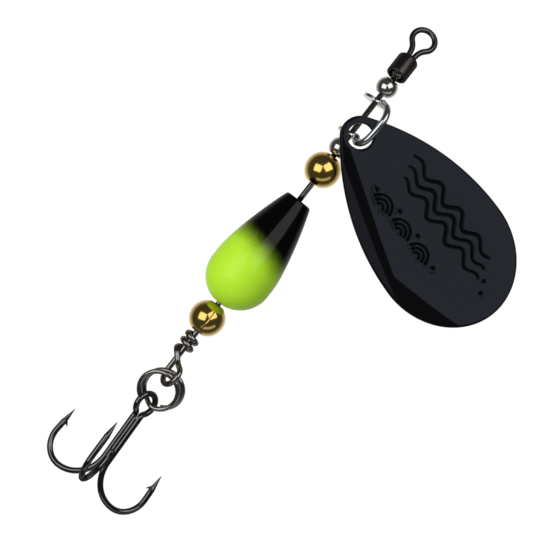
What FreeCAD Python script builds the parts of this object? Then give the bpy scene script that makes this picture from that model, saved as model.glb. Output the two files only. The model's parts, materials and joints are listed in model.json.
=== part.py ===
import FreeCAD, Part
import math
import os
from FreeCAD import Matrix, Placement, Vector

# An inline spinner: a wire shaft with a swivel at the line end, beads, a clevis that carries a cupped
# blade, a teardrop weight, and a treble hook on a split ring. It is drawn as it lies on a flat surface.
# X runs along the shaft towards the line eye and is 0 where the wraps end; Y and Z are 0 on the shaft.
# Millimetres and degrees. The last step moves everything so that the origin is under the whole lure.

# ---- shaft wire
WIRE_D = 0.80            # spring wire of the shaft
WRAP_GAP = 0.05          # between the wraps and the wire that they go round
WRAP_TURNS = 2.5
WRAP_PITCH = 1.06
WRAP_LEAN = 1.05         # extra advance of the first turn, where the wire comes out of the loop
WRAP_LEAN_TURN = 70.0    # degrees of turn in which that extra advance fades
WRAP_STEP = 45.0         # degrees of turn between the points that the wraps pass through
WRAP_END = 0.32          # middle of the last wrap, short of the station at X = 0
LOOP_WIDTH = 3.20        # between the wire centres of the two sides of the loop
LOOP_LENGTH = 2.28       # from the crossing of the wires to the middle of the loop's round end
LOOP_TURN = 58.0         # how far the loop's plane is turned up about the shaft
BALL_OVER_WIRE = 0.65    # how far the head on the wire's end stands out all round, in the barrel

# ---- beads and weight, in order from the wraps
SEAT_GAP = 0.05          # between pieces that rest end to end on the wire
LARGE_BEAD_R = 2.50
LARGE_BEAD_LOOSE = 0.45  # between the wire and the wall of the hole, all round
SMALL_BEAD_R = 1.50
SMALL_BEAD_LOOSE = 0.32
BEAD_EDGE_R = 0.12       # rounding at the mouth of a bead's hole
BEAD_PLAY = 0.19         # between the upper large bead and the small bead on it
WEIGHT_LENGTH = 17.63
WEIGHT_R = 4.70
WEIGHT_NOSE_R = 1.90     # where the flank would meet the nose face
WEIGHT_NOSE_ANGLE = 19.8     # flank to axis, at the nose
WEIGHT_SHOULDER_ANGLE = 9.7  # flank to axis, where the fuller shoulder begins
WEIGHT_SHOULDER_ARC_R = 14.8
WEIGHT_BELLY_FLAT = 0.73     # cylindrical stretch between the shoulder and the round tail
WEIGHT_NOSE_EDGE_R = 0.40
WEIGHT_LOOSE = 0.45
WEIGHT_SLIDE = 2.65      # free travel of the weight along the wire

# ---- clevis
EAR_GAP = 0.72           # from the lower small bead to the lower ear
EAR_SPAN = 5.70          # between the middles of the two ears
EAR_R = 1.90
EAR_THICKNESS = 0.40
EAR_LOOSE = 0.22
EAR_TILT = 7.0           # the ears lean on the wire by this much
BOW_D = 1.00
BOW_REACH = 4.50         # from the shaft's axis to the middle of the bow
BOW_LEAN = 0.90          # how far the bow's top stands towards the line eye
BOW_UPPER_BULGE = 0.20   # how far the bow swells out past the upper ear
BOW_LOWER_BULGE = 0.30
BOW_BULGE_AT = 0.55      # where it swells most, as a share of its reach
BOW_ROOT = 0.60          # from an ear's rim in to where the bow's wire ends
BOW_UPPER_TURN = 40.0    # the bow leaves the upper ear at this angle from the ear's plane
BOW_LOWER_TURN = 30.0
CLEVIS_TURN = 57.0       # how far the bow is turned up about the shaft

# ---- blade
BLADE_LENGTH = 30.9      # from the middle of the hole to the far end
BLADE_HALF_WIDTH = 9.45
BLADE_WIDEST = 20.0      # from the middle of the hole to the widest place
BLADE_HEAD_R = 2.75
BLADE_HOLE_R = 1.70
BLADE_THICKNESS = 0.75
BLADE_CROWN = 14.0       # from the middle of the hole to the highest place of the dome
BLADE_LONG_R = 90.0      # radius of the dome along the blade
BLADE_CROSS_R = 22.0     # radius of the dome across the blade
DOME_MARGIN = 12.0       # degrees by which the dome is drawn wider than the blade before it is cut
BLADE_HOLE_ALONG = 0.60  # the hole's middle, from the lower ear towards the upper one
BLADE_HOLE_REACH = 2.853 # from the shaft's axis, on the bow's side
BLADE_HOLE_ASIDE = 0.415 # from the plane of the bow
BLADE_YAW = -105.6       # direction of the blade's length, from +X
BLADE_PITCH = 12.3       # its far end lies lower by this angle

# ---- swivel
SWIVEL_GAP = 1.30        # from the upper small bead to the middle of the ball head
SWIVEL_DROOP = 27.0      # the swivel hangs down from the wire's end by this angle
BARREL_WALL = 0.35
BARREL_BACK = 0.95       # from the ball's middle to the barrel's open end
BARREL_FRONT = 2.40      # from the ball's middle to the barrel's other end
BARREL_BORE_PLAY = 0.10  # between the ball head and the bore
BARREL_FRONT_WALL = 0.65
BALL_PLAY = 0.04
LIP_LOOSE = 0.45         # between the wire and the lip that holds the ball head
LIP_RIM = 0.37           # width of the lip's flat face
SHOULDER_R = 0.45        # rounding of the barrel's closed end
LIP_EDGE_R = 0.18        # rounding of its open end
EYE_WIRE_D = 0.80
EYE_LEG_GAP = 0.02
EYE_HOLE_PLAY = 0.06
EYE_HEAD_LOOSE = 0.10    # between the eye's head and the bore
EYE_HEAD_THICKNESS = 0.40
EYE_HEAD_PLAY = 0.05
EYE_LEG = 0.35           # from the barrel's end to where the legs begin to part
EYE_R = 1.62             # wire centre
EYE_LENGTH = 4.90        # from there to the far end of the eye, wire centre
EYE_OPENING = 135.0      # from the eye's far end round to where it turns into the legs

# ---- split ring
RING_WIRE_D = 0.70
RING_R = 2.70            # wire centre
RING_COIL_GAP = 0.02
RING_DRIFT = 0.50        # the lower coil stands this far to one side of the upper coil
RING_DRIFT_ANGLE = -52.0
RING_STEP = 58.0         # degrees in which the wire steps from the upper to the lower coil
RING_START = 147.0       # where the upper coil begins, about the ring's own axis
RING_LOOP_PLAY = 0.642   # between the wires of the ring and of the shaft's loop, in the ring's plane
RING_ASIDE = 0.132       # the ring's middle from the loop's, towards the blade's tip
RING_BELOW = 0.568       # and below the loop's far end, square to the ring's plane
RING_PITCH = 22.0        # its hook side lies lower by this angle

# ---- treble hook
HOOK_WIRE_D = 0.84
HOOK_WIRE_GAP = 0.02     # between the shanks, where the braze holds them
HOOK_RING_ANGLE = 171.69 # where the hook's eye hangs, about the ring's own axis
HOOK_RING_OUT = 0.164    # the eye's middle, outside the middle of the ring's wire
HOOK_RING_UP = 0.598     # and above the ring's middle plane
HOOK_YAW = 2.2
HOOK_TILT = -0.6
HOOK_EYE_R = 1.60
HOOK_EYE_END = 4.30      # far end of the eye, wire centre
HOOK_EYE_ROLL = 48.0     # the eye's plane is turned from the plane of the two shanks
HOOK_EYE_OPENING = 145.0
HOOK_SHANK_TOP = 0.70    # where the two shanks lie side by side
HOOK_BEND_START = -6.70
HOOK_BEND_R = 4.85       # from the shank to the bottom of the bend
HOOK_GAPE_R = 3.29       # from the bottom of the bend to the point's side
HOOK_POINT_TIP = -4.20
HOOK_POINT_TAPER = 2.30
HOOK_POINT_TIP_R = 0.04
HOOK_BARB_AT = 1.45      # from the tip back to where the barb leaves the wire
HOOK_BARB_LENGTH = 1.00
HOOK_BARB_HEEL = 0.60    # where the barb's underside meets the wire, as a share of its length
HOOK_BARB_HEIGHT = 0.42
HOOK_BARB_THICKNESS = 0.34
# each arm: its direction about the shank, how much nearer to the eye it sits, how its point leans in,
# how much further its point reaches
LEFT_ARM = (-24.0, 0.60, 7.0, 0.0)
RIGHT_ARM = (210.0, 0.0, 1.0, 0.0)
THIRD_ARM = (78.0, 1.50, 4.0, 1.7)
THIRD_SHANK_TOP = -4.90

X, Y, Z = Vector(1, 0, 0), Vector(0, 1, 0), Vector(0, 0, 1)
ORIGIN = Vector(0, 0, 0)


def turned(angle, first, second):
    """The unit vector at this angle from first towards second."""
    return first * math.cos(math.radians(angle)) + second * math.sin(math.radians(angle))


def frame(origin, first, second, third):
    """The placement that takes X, Y and Z to three given directions."""
    return Placement(Matrix(first.x, second.x, third.x, origin.x,
                            first.y, second.y, third.y, origin.y,
                            first.z, second.z, third.z, origin.z,
                            0, 0, 0, 1))


def arc(start, tangent, end):
    """The circular edge that leaves start along a unit tangent and reaches end."""
    chord = end - start
    lean = chord.dot(tangent) / chord.Length
    if lean > 1 - 1e-9:
        return Part.LineSegment(start, end).toShape()
    corner = start + tangent * (chord.Length / (2 * lean))
    middle = (start + corner * (2 * lean) + end) / (2 * (1 + lean))
    return Part.Arc(start, middle, end).toShape()


def biarc(start, start_tangent, end, end_tangent):
    """Two circular edges that join two places smoothly, in the given unit directions."""
    way = end - start
    along = way.dot(start_tangent + end_tangent)
    spread = 2 * (1 - start_tangent.dot(end_tangent))
    if spread < 1e-9:
        reach = way.dot(way) / (4 * way.dot(end_tangent))
    else:
        reach = (math.sqrt(along ** 2 + spread * way.dot(way)) - along) / spread
    knee = (start + start_tangent * reach + end - end_tangent * reach) / 2
    return [arc(start, start_tangent, knee), arc(end, -end_tangent, knee)]


def swept(edges, diameter):
    """A round wire whose centre follows the edges, which meet smoothly."""
    path = Part.Wire(Part.__sortEdges__(edges))
    start = path.OrderedVertexes[0].Point
    tangent = path.OrderedEdges[0].tangentAt(path.OrderedEdges[0].getParameterByLength(0))
    if (path.OrderedEdges[0].valueAt(path.OrderedEdges[0].FirstParameter) - start).Length > 1e-6:
        tangent = path.OrderedEdges[0].tangentAt(path.OrderedEdges[0].LastParameter)
    section = Part.Wire(Part.makeCircle(diameter / 2, start, tangent))
    solid = path.makePipeShell([section], True, False)
    expected = math.pi * diameter ** 2 / 4 * path.Length
    assert abs(solid.Volume / expected - 1) < 0.01, (solid.Volume, expected)
    return solid


def lathe(edges):
    """The solid that a closed outline in the XY plane makes when it turns about X."""
    face = Part.Face(Part.Wire(Part.__sortEdges__(edges)))
    return face.revolve(ORIGIN, X, 360)


def line(first, second):
    return Part.LineSegment(Vector(*first), Vector(*second)).toShape()


def bead(radius, hole_radius, station):
    """A ball with a hole along X, whose mouths are rounded."""
    mouth_x = math.sqrt((radius - BEAD_EDGE_R) ** 2 - (hole_radius + BEAD_EDGE_R) ** 2)
    rim = Vector(mouth_x, hole_radius + BEAD_EDGE_R, 0) * (radius / (radius - BEAD_EDGE_R))
    edges = [
        line((-mouth_x, hole_radius, 0), (mouth_x, hole_radius, 0)),
        arc(Vector(mouth_x, hole_radius, 0), X, rim),
        Part.Arc(rim, Y * radius, Vector(-rim.x, rim.y, 0)).toShape(),
        arc(Vector(-mouth_x, hole_radius, 0), -X, Vector(-rim.x, rim.y, 0)),
    ]
    ball = lathe(edges)
    ball.translate(X * station)
    return ball


# ---- holes and seats, from what they hold
wire_r = WIRE_D / 2
large_bead_hole_r = wire_r + LARGE_BEAD_LOOSE
small_bead_hole_r = wire_r + SMALL_BEAD_LOOSE
weight_hole_r = wire_r + WEIGHT_LOOSE
ear_hole_r = wire_r + EAR_LOOSE
ball_r = wire_r + BALL_OVER_WIRE
barrel_bore_r = ball_r + BARREL_BORE_PLAY
barrel_r = barrel_bore_r + BARREL_WALL

# ---- stations along the shaft, each from its neighbour
lower_large_x = SEAT_GAP + LARGE_BEAD_R
tail_x = lower_large_x + LARGE_BEAD_R + SEAT_GAP
nose_x = tail_x + WEIGHT_LENGTH
upper_large_x = nose_x + WEIGHT_SLIDE + SEAT_GAP + LARGE_BEAD_R
small_on_large = (math.sqrt(LARGE_BEAD_R ** 2 - large_bead_hole_r ** 2)
                  + math.sqrt(SMALL_BEAD_R ** 2 - large_bead_hole_r ** 2))
lower_small_x = upper_large_x + small_on_large + BEAD_PLAY
lower_ear_x = lower_small_x + SMALL_BEAD_R + EAR_GAP
upper_ear_x = lower_ear_x + EAR_SPAN
upper_small_x = upper_ear_x + EAR_GAP + EAR_THICKNESS / 2 + SMALL_BEAD_R
ball_x = upper_small_x + SMALL_BEAD_R + SWIVEL_GAP

# ---- wraps: the wire's centre, by the angle it has turned since it crossed over the shaft
wrap_r = WIRE_D + WRAP_GAP
wrap_length = WRAP_PITCH * WRAP_TURNS + WRAP_LEAN
cross_x = -WRAP_END - wrap_length


def wrap_point(turn):
    """The wire's centre and direction after this many degrees round the shaft."""
    fade = math.exp(-turn / WRAP_LEAN_TURN)
    advance = WRAP_PITCH * turn / 360 + WRAP_LEAN * (1 - fade)
    outward = turned(turn, Z, Y)
    around = turned(turn, Y, -Z)
    slope = WRAP_PITCH / (2 * math.pi) + WRAP_LEAN * fade / math.radians(WRAP_LEAN_TURN)
    direction = (around * wrap_r + X * slope).normalize()
    return X * (cross_x + advance) + outward * wrap_r, direction


loop_side = turned(LOOP_TURN, -Y, Z)
loop_x = cross_x - LOOP_LENGTH
loop_bottom = X * (loop_x - LOOP_WIDTH / 2) + loop_side * (LOOP_WIDTH / 2)


def make_shaft_wire():
    leaving = X * loop_x
    returning = X * loop_x + loop_side * LOOP_WIDTH
    edges = [Part.LineSegment(X * ball_x, leaving).toShape()]
    edges += [arc(leaving, -X, loop_bottom), arc(loop_bottom, loop_side, returning)]
    place, direction = wrap_point(0)
    edges += biarc(returning, X, place, direction)
    turn = 0
    while turn < WRAP_TURNS * 360 - 1e-6:
        turn = min(turn + WRAP_STEP, WRAP_TURNS * 360)
        following, next_direction = wrap_point(turn)
        edges += biarc(place, direction, following, next_direction)
        place, direction = following, next_direction
    wire = swept(edges, WIRE_D)
    return wire.fuse(Part.makeSphere(ball_r, X * ball_x))


def make_weight():
    """A teardrop of revolution: nose face, flank, fuller shoulder, belly and round tail."""
    tail_middle = tail_x + WEIGHT_R
    belly_end = tail_middle + WEIGHT_BELLY_FLAT
    shoulder = math.radians(WEIGHT_SHOULDER_ANGLE)
    shoulder_x = belly_end + WEIGHT_SHOULDER_ARC_R * math.sin(shoulder)
    shoulder_r = WEIGHT_R - WEIGHT_SHOULDER_ARC_R * (1 - math.cos(shoulder))
    tail_rim_x = tail_middle - math.sqrt(WEIGHT_R ** 2 - weight_hole_r ** 2)
    at_45 = WEIGHT_R * math.sqrt(0.5)
    belly = Vector(belly_end, WEIGHT_R, 0)
    shoulder_point = Vector(shoulder_x, shoulder_r, 0)
    nose_point = Vector(nose_x, WEIGHT_NOSE_R, 0)
    edges = [
        line((tail_rim_x, weight_hole_r, 0), (nose_x, weight_hole_r, 0)),
        line((nose_x, weight_hole_r, 0), (nose_x, WEIGHT_NOSE_R, 0)),
        arc(nose_point, turned(WEIGHT_NOSE_ANGLE, -X, Y), shoulder_point),
        arc(belly, X, shoulder_point),
        line((belly_end, WEIGHT_R, 0), (tail_middle, WEIGHT_R, 0)),
        Part.Arc(Vector(tail_middle, WEIGHT_R, 0), Vector(tail_middle - at_45, at_45, 0),
                 Vector(tail_rim_x, weight_hole_r, 0)).toShape(),
    ]
    weight = lathe(edges)
    nose_edge = [e for e in weight.Edges if abs(e.BoundBox.YLength - 2 * WEIGHT_NOSE_R) < 0.01
                 and e.BoundBox.XLength < 0.01]
    return weight.makeFillet(WEIGHT_NOSE_EDGE_R, nose_edge)


def make_clevis():
    """Two flat round ears with holes for the shaft, joined by a bow that carries the blade."""
    bow_side = turned(CLEVIS_TURN, -Y, Z)
    ear_side = turned(EAR_TILT, bow_side, X)
    ear_normal = turned(EAR_TILT, X, -bow_side)
    discs = []
    for station in (lower_ear_x, upper_ear_x):
        start = X * station - ear_normal * (EAR_THICKNESS / 2)
        disc = Part.makeCylinder(EAR_R, EAR_THICKNESS, start, ear_normal)
        discs.append(disc)
    root = EAR_R - BOW_ROOT
    middle_x = (lower_ear_x + upper_ear_x) / 2
    upper = X * upper_ear_x + ear_side * root
    lower = X * lower_ear_x + ear_side * root
    half_up = BOW_REACH * BOW_BULGE_AT
    upper_swell = X * (upper_ear_x + BOW_UPPER_BULGE) + bow_side * half_up
    lower_swell = X * (lower_ear_x - BOW_LOWER_BULGE) + bow_side * half_up
    top = X * (middle_x + BOW_LEAN) + bow_side * BOW_REACH
    edges = biarc(upper, turned(BOW_UPPER_TURN, ear_side, X), upper_swell, bow_side)
    edges += biarc(upper_swell, bow_side, top, -X)
    edges += biarc(top, -X, lower_swell, -bow_side)
    edges += biarc(lower_swell, -bow_side, lower, turned(-BOW_LOWER_TURN, -ear_side, X))
    clevis = swept(edges, BOW_D).fuse(discs)
    for station in (lower_ear_x, upper_ear_x):
        clevis = clevis.cut(Part.makeCylinder(ear_hole_r, 4 * EAR_THICKNESS,
                                              X * station - ear_normal * (2 * EAR_THICKNESS), ear_normal))
    return clevis


def blade_outline():
    """Half of the blade's edge, from the head to the far end: head arc, flank arc, quarter ellipse."""
    half_turn = math.atan((BLADE_HALF_WIDTH - BLADE_HEAD_R) / BLADE_WIDEST)
    leave = math.degrees(2 * half_turn)
    head_top = X * -BLADE_HEAD_R
    flank_start = turned(leave, Y, -X) * BLADE_HEAD_R
    widest = Vector(BLADE_WIDEST, BLADE_HALF_WIDTH, 0)
    oval = Part.Ellipse(Vector(BLADE_LENGTH, 0, 0), Vector(BLADE_WIDEST, BLADE_HALF_WIDTH, 0),
                        Vector(BLADE_WIDEST, 0, 0))
    quarter = oval.toShape(0, math.pi / 2)
    return [arc(head_top, Y, flank_start), arc(widest, -X, flank_start), quarter]


def blade_frame():
    level = turned(BLADE_YAW, X, Y)
    length = turned(BLADE_PITCH, level, -Z)
    across = Z.cross(level)
    normal = length.cross(across)
    hole = (X * (lower_ear_x + BLADE_HOLE_ALONG) + turned(CLEVIS_TURN, -Y, Z) * BLADE_HOLE_REACH
            + turned(CLEVIS_TURN, Z, Y) * BLADE_HOLE_ASIDE)
    return frame(hole, length, across, normal)


def blade_height(along, across):
    """Height of the sheet's middle over its highest place, at a place on the blade."""
    long_drop = BLADE_LONG_R - math.sqrt(BLADE_LONG_R ** 2 - (along - BLADE_CROWN) ** 2)
    radius = BLADE_CROSS_R - long_drop
    return math.sqrt(radius ** 2 - across ** 2) - BLADE_CROSS_R


def make_blade():
    """A sheet domed both ways, cut to the outline, with the clevis hole."""
    side = blade_outline()
    other = [edge.mirror(ORIGIN, Y) for edge in side]
    outline = Part.Face(Part.Wire(Part.__sortEdges__(side + other)))
    deep = BLADE_HALF_WIDTH + BLADE_LENGTH / 2
    block = outline.copy()
    block.translate(Z * -deep)
    block = block.extrude(Z * (2 * deep))
    block = block.cut(Part.makeCylinder(BLADE_HOLE_R, 2 * deep, Z * -deep, Z))

    def dome_arc(offset):
        """The dome's section along the blade, offset outwards, before it is turned across."""
        radius = BLADE_LONG_R + offset
        middle = Vector(BLADE_CROWN, 0, -BLADE_LONG_R)
        reach = BLADE_LENGTH
        points = []
        for along in (-reach, 0, reach):
            points.append(middle + Vector(along, 0, math.sqrt(radius ** 2 - along ** 2)))
        return Part.Arc(*points).toShape(), points[0], points[2]

    outer, outer_start, outer_end = dome_arc(BLADE_THICKNESS / 2)
    inner, inner_start, inner_end = dome_arc(-BLADE_THICKNESS / 2)
    strip = Part.Face(Part.Wire(Part.__sortEdges__([
        outer, inner,
        Part.LineSegment(outer_start, inner_start).toShape(),
        Part.LineSegment(outer_end, inner_end).toShape()])))
    spread = math.degrees(math.asin(BLADE_HALF_WIDTH / BLADE_CROSS_R)) + DOME_MARGIN
    strip.rotate(Z * -BLADE_CROSS_R, X, -spread)
    sheet = strip.revolve(Z * -BLADE_CROSS_R, X, 2 * spread)
    blade = sheet.common(block)
    blade.translate(Z * -blade_height(0, 0))
    blade.Placement = blade_frame().multiply(blade.Placement)
    return blade


def swivel_frame():
    return frame(X * ball_x, turned(SWIVEL_DROOP, X, -Z), Y, turned(SWIVEL_DROOP, Z, X))


eye_hole_r = EYE_WIRE_D + EYE_LEG_GAP / 2 + EYE_HOLE_PLAY
front_wall_x = BARREL_FRONT - BARREL_FRONT_WALL
lip_r = wire_r + LIP_LOOSE
lip_flare_r = barrel_r - LIP_RIM


def make_barrel():
    """A hollow barrel: a flared lip round the ball head at one end, a wall with a hole at the other."""
    seat_r = ball_r + BALL_PLAY
    lip_x = -math.sqrt(seat_r ** 2 - lip_r ** 2)
    edges = [
        line((-BARREL_BACK, lip_flare_r, 0), (-BARREL_BACK, barrel_r - LIP_EDGE_R, 0)),
        arc(Vector(-BARREL_BACK, barrel_r - LIP_EDGE_R, 0), Y,
            Vector(-BARREL_BACK + LIP_EDGE_R, barrel_r, 0)),
        line((-BARREL_BACK + LIP_EDGE_R, barrel_r, 0), (BARREL_FRONT - SHOULDER_R, barrel_r, 0)),
        arc(Vector(BARREL_FRONT - SHOULDER_R, barrel_r, 0), X,
            Vector(BARREL_FRONT, barrel_r - SHOULDER_R, 0)),
        line((BARREL_FRONT, barrel_r - SHOULDER_R, 0), (BARREL_FRONT, eye_hole_r, 0)),
        line((BARREL_FRONT, eye_hole_r, 0), (front_wall_x, eye_hole_r, 0)),
        line((front_wall_x, eye_hole_r, 0), (front_wall_x, barrel_bore_r, 0)),
        line((front_wall_x, barrel_bore_r, 0), (0, barrel_bore_r, 0)),
        line((0, barrel_bore_r, 0), (0, seat_r, 0)),
        arc(Vector(0, seat_r, 0), -X, Vector(lip_x, lip_r, 0)),
        line((lip_x, lip_r, 0), (-BARREL_BACK, lip_flare_r, 0)),
    ]
    barrel = lathe(edges)
    barrel.Placement = swivel_frame()
    return barrel


def make_eye():
    """The line eye: a round loop whose two legs lie side by side and end in a head in the barrel."""
    leg_y = (EYE_WIRE_D + EYE_LEG_GAP) / 2
    head_x = front_wall_x - EYE_HEAD_PLAY - EYE_HEAD_THICKNESS
    leg_x = BARREL_FRONT + EYE_LEG
    middle = X * (leg_x + EYE_LENGTH - EYE_R)
    edges = []
    for side in (1, -1):
        leg_start = Vector(head_x, side * leg_y, 0)
        leg_end = Vector(leg_x, side * leg_y, 0)
        outward = turned(EYE_OPENING, X, Y * side)
        joins = middle + outward * EYE_R
        direction = turned(EYE_OPENING - 90, X, Y * side)
        edges.append(Part.LineSegment(leg_start, leg_end).toShape())
        edges += biarc(leg_end, X, joins, direction)
        edges.append(Part.Arc(joins, middle + turned(EYE_OPENING / 2, X, Y * side) * EYE_R,
                              middle + X * EYE_R).toShape())
    eye = swept(edges, EYE_WIRE_D)
    eye = eye.fuse(Part.makeCylinder(barrel_bore_r - EYE_HEAD_LOOSE, EYE_HEAD_THICKNESS, X * head_x, X))
    eye.Placement = swivel_frame()
    return eye


def ring_frame():
    along = turned(RING_PITCH, X, Z)
    normal = turned(RING_PITCH, Z, -X)
    inside_loop = (WIRE_D + RING_WIRE_D) / 2 + RING_LOOP_PLAY
    middle = loop_bottom - along * (RING_R - inside_loop) - Y * RING_ASIDE - normal * RING_BELOW
    return frame(middle, along, Y, normal)


def make_split_ring():
    """Two flat coils of one wire, the second a little to one side, joined by a short step."""
    pitch = RING_WIRE_D + RING_COIL_GAP
    lower_middle = turned(RING_DRIFT_ANGLE, X, Y) * (RING_DRIFT / 2) - Z * (pitch / 2)
    upper_middle = -lower_middle
    round_angle = 360 - RING_STEP
    edges = []
    for middle, start in ((upper_middle, RING_START), (lower_middle, RING_START - 360)):
        points = []
        for share in (0, 0.5, 1):
            points.append(middle + turned(start - share * round_angle, X, Y) * RING_R)
        edges.append(Part.Arc(*points).toShape())
    end_angle = RING_START - round_angle
    upper_end = upper_middle + turned(end_angle, X, Y) * RING_R
    lower_start = lower_middle + turned(RING_START - 360, X, Y) * RING_R
    edges += biarc(upper_end, turned(end_angle, Y, -X) * -1,
                   lower_start, turned(RING_START - 360, Y, -X) * -1)
    ring = swept(edges, RING_WIRE_D)
    ring.Placement = ring_frame()
    return ring


def hook_frame():
    level = turned(HOOK_YAW, X, Y)
    across = Z.cross(level)
    along = turned(HOOK_TILT, level, -Z)
    eye = ring_frame().multVec(turned(HOOK_RING_ANGLE, X, Y) * (RING_R + HOOK_RING_OUT) + Z * HOOK_RING_UP)
    return frame(eye - along * (HOOK_EYE_END - HOOK_EYE_R), along, across, turned(HOOK_TILT, Z, level))


def hook_arm(shank_top, shank_middle, arm):
    """Edges of one arm from its shank's top to its tapered point, then the point's solids."""
    angle, lift, lean_angle, further = arm
    side = turned(angle, Y, Z)
    bend_x = HOOK_BEND_START + lift
    tip_x = HOOK_POINT_TIP + lift + further
    bend_start = shank_middle + X * bend_x
    bottom = bend_start - X * HOOK_BEND_R + side * HOOK_BEND_R
    lean = turned(lean_angle, X, -side)
    widest = bottom + (X + side) * HOOK_GAPE_R
    turned_back = bottom + X * HOOK_GAPE_R + turned(lean_angle, side, X) * HOOK_GAPE_R
    point_length = (tip_x - turned_back.x) / math.cos(math.radians(lean_angle))
    taper_start = turned_back + lean * (point_length - HOOK_POINT_TAPER)
    tip = turned_back + lean * point_length
    edges = [
        Part.LineSegment(shank_middle + X * shank_top, bend_start).toShape(),
        arc(bend_start, -X, bottom),
        arc(bottom, side, widest),
        arc(widest, X, turned_back),
        Part.LineSegment(turned_back, taper_start).toShape(),
    ]
    cone = Part.makeCone(HOOK_WIRE_D / 2, HOOK_POINT_TIP_R, HOOK_POINT_TAPER, taper_start, lean)
    inward = turned(lean_angle, -side, -X)
    flat = lean.cross(inward)
    barb_root = tip - lean * HOOK_BARB_AT
    barb_tip = barb_root - lean * HOOK_BARB_LENGTH + inward * (HOOK_WIRE_D / 2 + HOOK_BARB_HEIGHT)
    barb_heel = barb_root - lean * (HOOK_BARB_LENGTH * HOOK_BARB_HEEL)
    corners = [barb_root, barb_tip, barb_heel, barb_root]
    wedge = Part.Face(Part.makePolygon(corners))
    wedge.translate(flat * (-HOOK_BARB_THICKNESS / 2))
    return edges, [cone, wedge.extrude(flat * HOOK_BARB_THICKNESS)]


hook_shank_y = (HOOK_WIRE_D + HOOK_WIRE_GAP) / 2
hook_groove_z = math.sqrt((HOOK_WIRE_D + HOOK_WIRE_GAP) ** 2 - hook_shank_y ** 2)


def make_double_hook():
    """One wire: a point, a shank, the eye, the other shank and the other point."""
    eye_middle = X * (HOOK_EYE_END - HOOK_EYE_R)
    across = turned(HOOK_EYE_ROLL, Y, Z)
    edges, points = [], []
    for sign, arm in ((1, LEFT_ARM), (-1, RIGHT_ARM)):
        shank_middle = Y * (sign * hook_shank_y)
        arm_edges, solids = hook_arm(HOOK_SHANK_TOP, shank_middle, arm)
        joins = eye_middle + turned(HOOK_EYE_OPENING, X, across * sign) * HOOK_EYE_R
        direction = turned(HOOK_EYE_OPENING - 90, X, across * sign)
        halfway = eye_middle + turned(HOOK_EYE_OPENING / 2, X, across * sign) * HOOK_EYE_R
        edges += arm_edges + biarc(shank_middle + X * HOOK_SHANK_TOP, X, joins, direction)
        edges.append(Part.Arc(joins, halfway, eye_middle + X * HOOK_EYE_R).toShape())
        points += solids
    hook = swept(edges, HOOK_WIRE_D).fuse(points)
    hook.Placement = hook_frame()
    return hook


def make_third_hook():
    """The single hook that is brazed in the groove between the two shanks."""
    edges, points = hook_arm(THIRD_SHANK_TOP, Z * hook_groove_z, THIRD_ARM)
    hook = swept(edges, HOOK_WIRE_D).fuse(points)
    hook.Placement = hook_frame()
    return hook


nodes = {
    "swivel_eye": make_eye(),
    "swivel_barrel": make_barrel(),
    "shaft_wire": make_shaft_wire(),
    "upper_small_bead": bead(SMALL_BEAD_R, small_bead_hole_r, upper_small_x),
    "clevis": make_clevis(),
    "spinner_blade": make_blade(),
    "lower_small_bead": bead(SMALL_BEAD_R, small_bead_hole_r, lower_small_x),
    "upper_large_bead": bead(LARGE_BEAD_R, large_bead_hole_r, upper_large_x),
    "weight_body": make_weight(),
    "lower_large_bead": bead(LARGE_BEAD_R, large_bead_hole_r, lower_large_x),
    "split_ring": make_split_ring(),
    "double_hook_wire": make_double_hook(),
    "third_hook_wire": make_third_hook(),
}

# ---- the origin goes under the middle of the whole lure, on the surface that it lies on
box = Part.makeCompound(list(nodes.values())).optimalBoundingBox(False, False)
shift = Vector(-(box.XMin + box.XMax) / 2, -(box.YMin + box.YMax) / 2, -box.ZMin)
os.makedirs("parts", exist_ok=True)
for name, shape in nodes.items():
    shape.translate(shift)
    shape.exportStep("parts/" + name + ".step")
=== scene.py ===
import json
import math

import bmesh
import bpy
from mathutils import Matrix, Vector, geometry


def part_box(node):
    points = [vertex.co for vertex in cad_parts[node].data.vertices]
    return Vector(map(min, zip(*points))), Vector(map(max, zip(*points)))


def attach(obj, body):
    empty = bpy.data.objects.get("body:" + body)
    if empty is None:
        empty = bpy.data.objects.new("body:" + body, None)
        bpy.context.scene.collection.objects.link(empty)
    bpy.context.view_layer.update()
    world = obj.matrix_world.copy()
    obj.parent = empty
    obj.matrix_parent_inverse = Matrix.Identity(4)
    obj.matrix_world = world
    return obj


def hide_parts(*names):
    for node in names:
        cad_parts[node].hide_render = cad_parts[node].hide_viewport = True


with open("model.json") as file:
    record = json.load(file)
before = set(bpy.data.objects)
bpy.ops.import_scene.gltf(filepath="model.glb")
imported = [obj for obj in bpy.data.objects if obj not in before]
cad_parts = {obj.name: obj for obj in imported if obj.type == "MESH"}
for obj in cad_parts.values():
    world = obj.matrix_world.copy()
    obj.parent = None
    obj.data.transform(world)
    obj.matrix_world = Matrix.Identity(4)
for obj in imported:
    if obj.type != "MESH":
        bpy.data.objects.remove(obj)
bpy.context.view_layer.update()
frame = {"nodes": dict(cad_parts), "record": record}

MM = 0.001

# ---------------------------------------------------------------- table, lights and camera
# The lure floats over a clean white table under two large soft boxes that hang side by side, in a dark
# room. The table is low enough for the hook to swing down over it.
# The camera looks straight down with a long lens and is turned so that the shaft runs up to the right.
scene = bpy.context.scene
scene.view_settings.view_transform = "Standard"
scene.view_settings.look = "None"

SHAFT_LEAN = 52.09               # degrees between the shaft and the camera's right-hand direction
VIEW_WIDTH = 74.98 * MM          # what the camera takes in at the height of the shaft
VIEW_DISTANCE = 0.62
VIEW_CENTRE = (-0.22 * MM, 7.51 * MM)
shaft_low, shaft_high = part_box("weight_body")
shaft_y = (shaft_low[1] + shaft_high[1]) / 2
shaft_z = (shaft_low[2] + shaft_high[2]) / 2

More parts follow.
